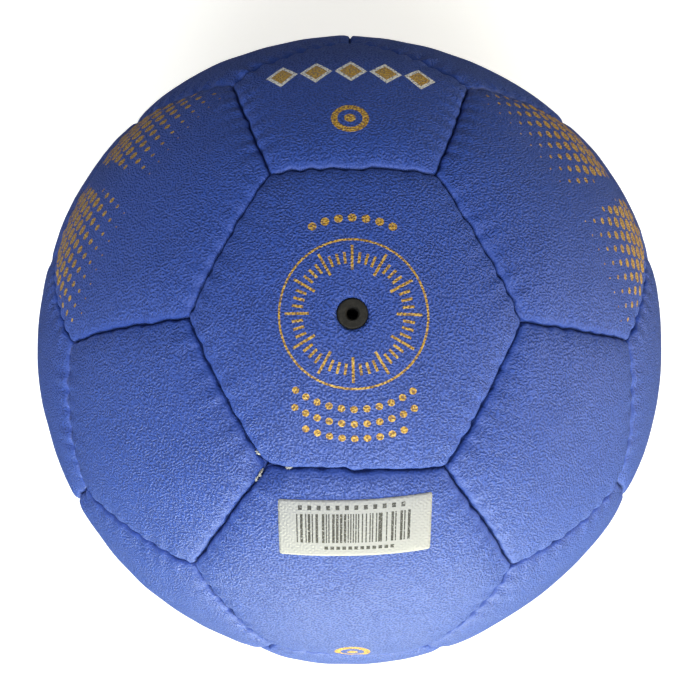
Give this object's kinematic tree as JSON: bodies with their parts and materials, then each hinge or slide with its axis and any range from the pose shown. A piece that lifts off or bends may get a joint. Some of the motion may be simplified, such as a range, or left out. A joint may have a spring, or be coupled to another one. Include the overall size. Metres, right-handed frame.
{
  "type": "handball",
  "caption": "Inflated hand-stitched ball of hexagon and pentagon panels over foam, cloth and a bladder, with a needle valve; thrown and caught with one hand.",
  "frame": {"origin": "centre of the ball", "axes": "+Z out through the valve, +Y towards the nearest pentagon panel, +X to the right of both"},
  "size_m": [0.188, 0.188, 0.1879],
  "materials": {
    "panel_skin": "satin",
    "foam": "matte",
    "lining": "matte",
    "thread": "matte",
    "bladder": "satin",
    "patch": "matte",
    "valve_rubber": "matte",
    "label": "satin"
  },
  "bodies": {
    "ball": {"balance_patch": "patch", "bladder": "bladder", "hex_cloth_linings": "lining", "hex_foam_backings": "foam", "hex_hex_seam_threads": "thread", "hex_panel_02": "panel_skin", "hex_panel_03": "panel_skin", "hex_panel_04": "panel_skin", "hex_panel_05": "panel_skin", "hex_panel_06": "panel_skin", "hex_panel_07": "panel_skin", "hex_panel_08": "panel_skin", "hex_panel_09": "panel_skin", "hex_panel_10": "panel_skin", "hex_panel_11": "panel_skin", "hex_panel_12": "panel_skin", "hex_panel_13": "panel_skin", "hex_panel_14": "panel_skin", "hex_panel_15": "panel_skin", "hex_panel_16": "panel_skin", "hex_panel_17": "panel_skin", "hex_panel_18": "panel_skin", "hex_panel_19": "panel_skin", "hex_panel_20": "panel_skin", "hex_pent_seam_threads": "thread", "label": "label", "pent_cloth_linings": "lining", "pent_foam_backings": "foam", "pent_panel_01": "panel_skin", "pent_panel_02": "panel_skin", "pent_panel_03": "panel_skin", "pent_panel_04": "panel_skin", "pent_panel_05": "panel_skin", "pent_panel_06": "panel_skin", "pent_panel_07": "panel_skin", "pent_panel_08": "panel_skin", "pent_panel_09": "panel_skin", "pent_panel_10": "panel_skin", "pent_panel_11": "panel_skin", "pent_panel_12": "panel_skin", "valve_housing": "valve_rubber", "valve_panel": "panel_skin", "valve_patch": "patch"},
    "valve_plug": {"valve_core": "valve_rubber"}
  },
  "joints": [
    {"name": "valve_core_slide", "type": "slide", "parent": "ball", "child": "valve_plug", "axis": [0, 0, 1], "range_m": [0, 0.022]}
  ]
}
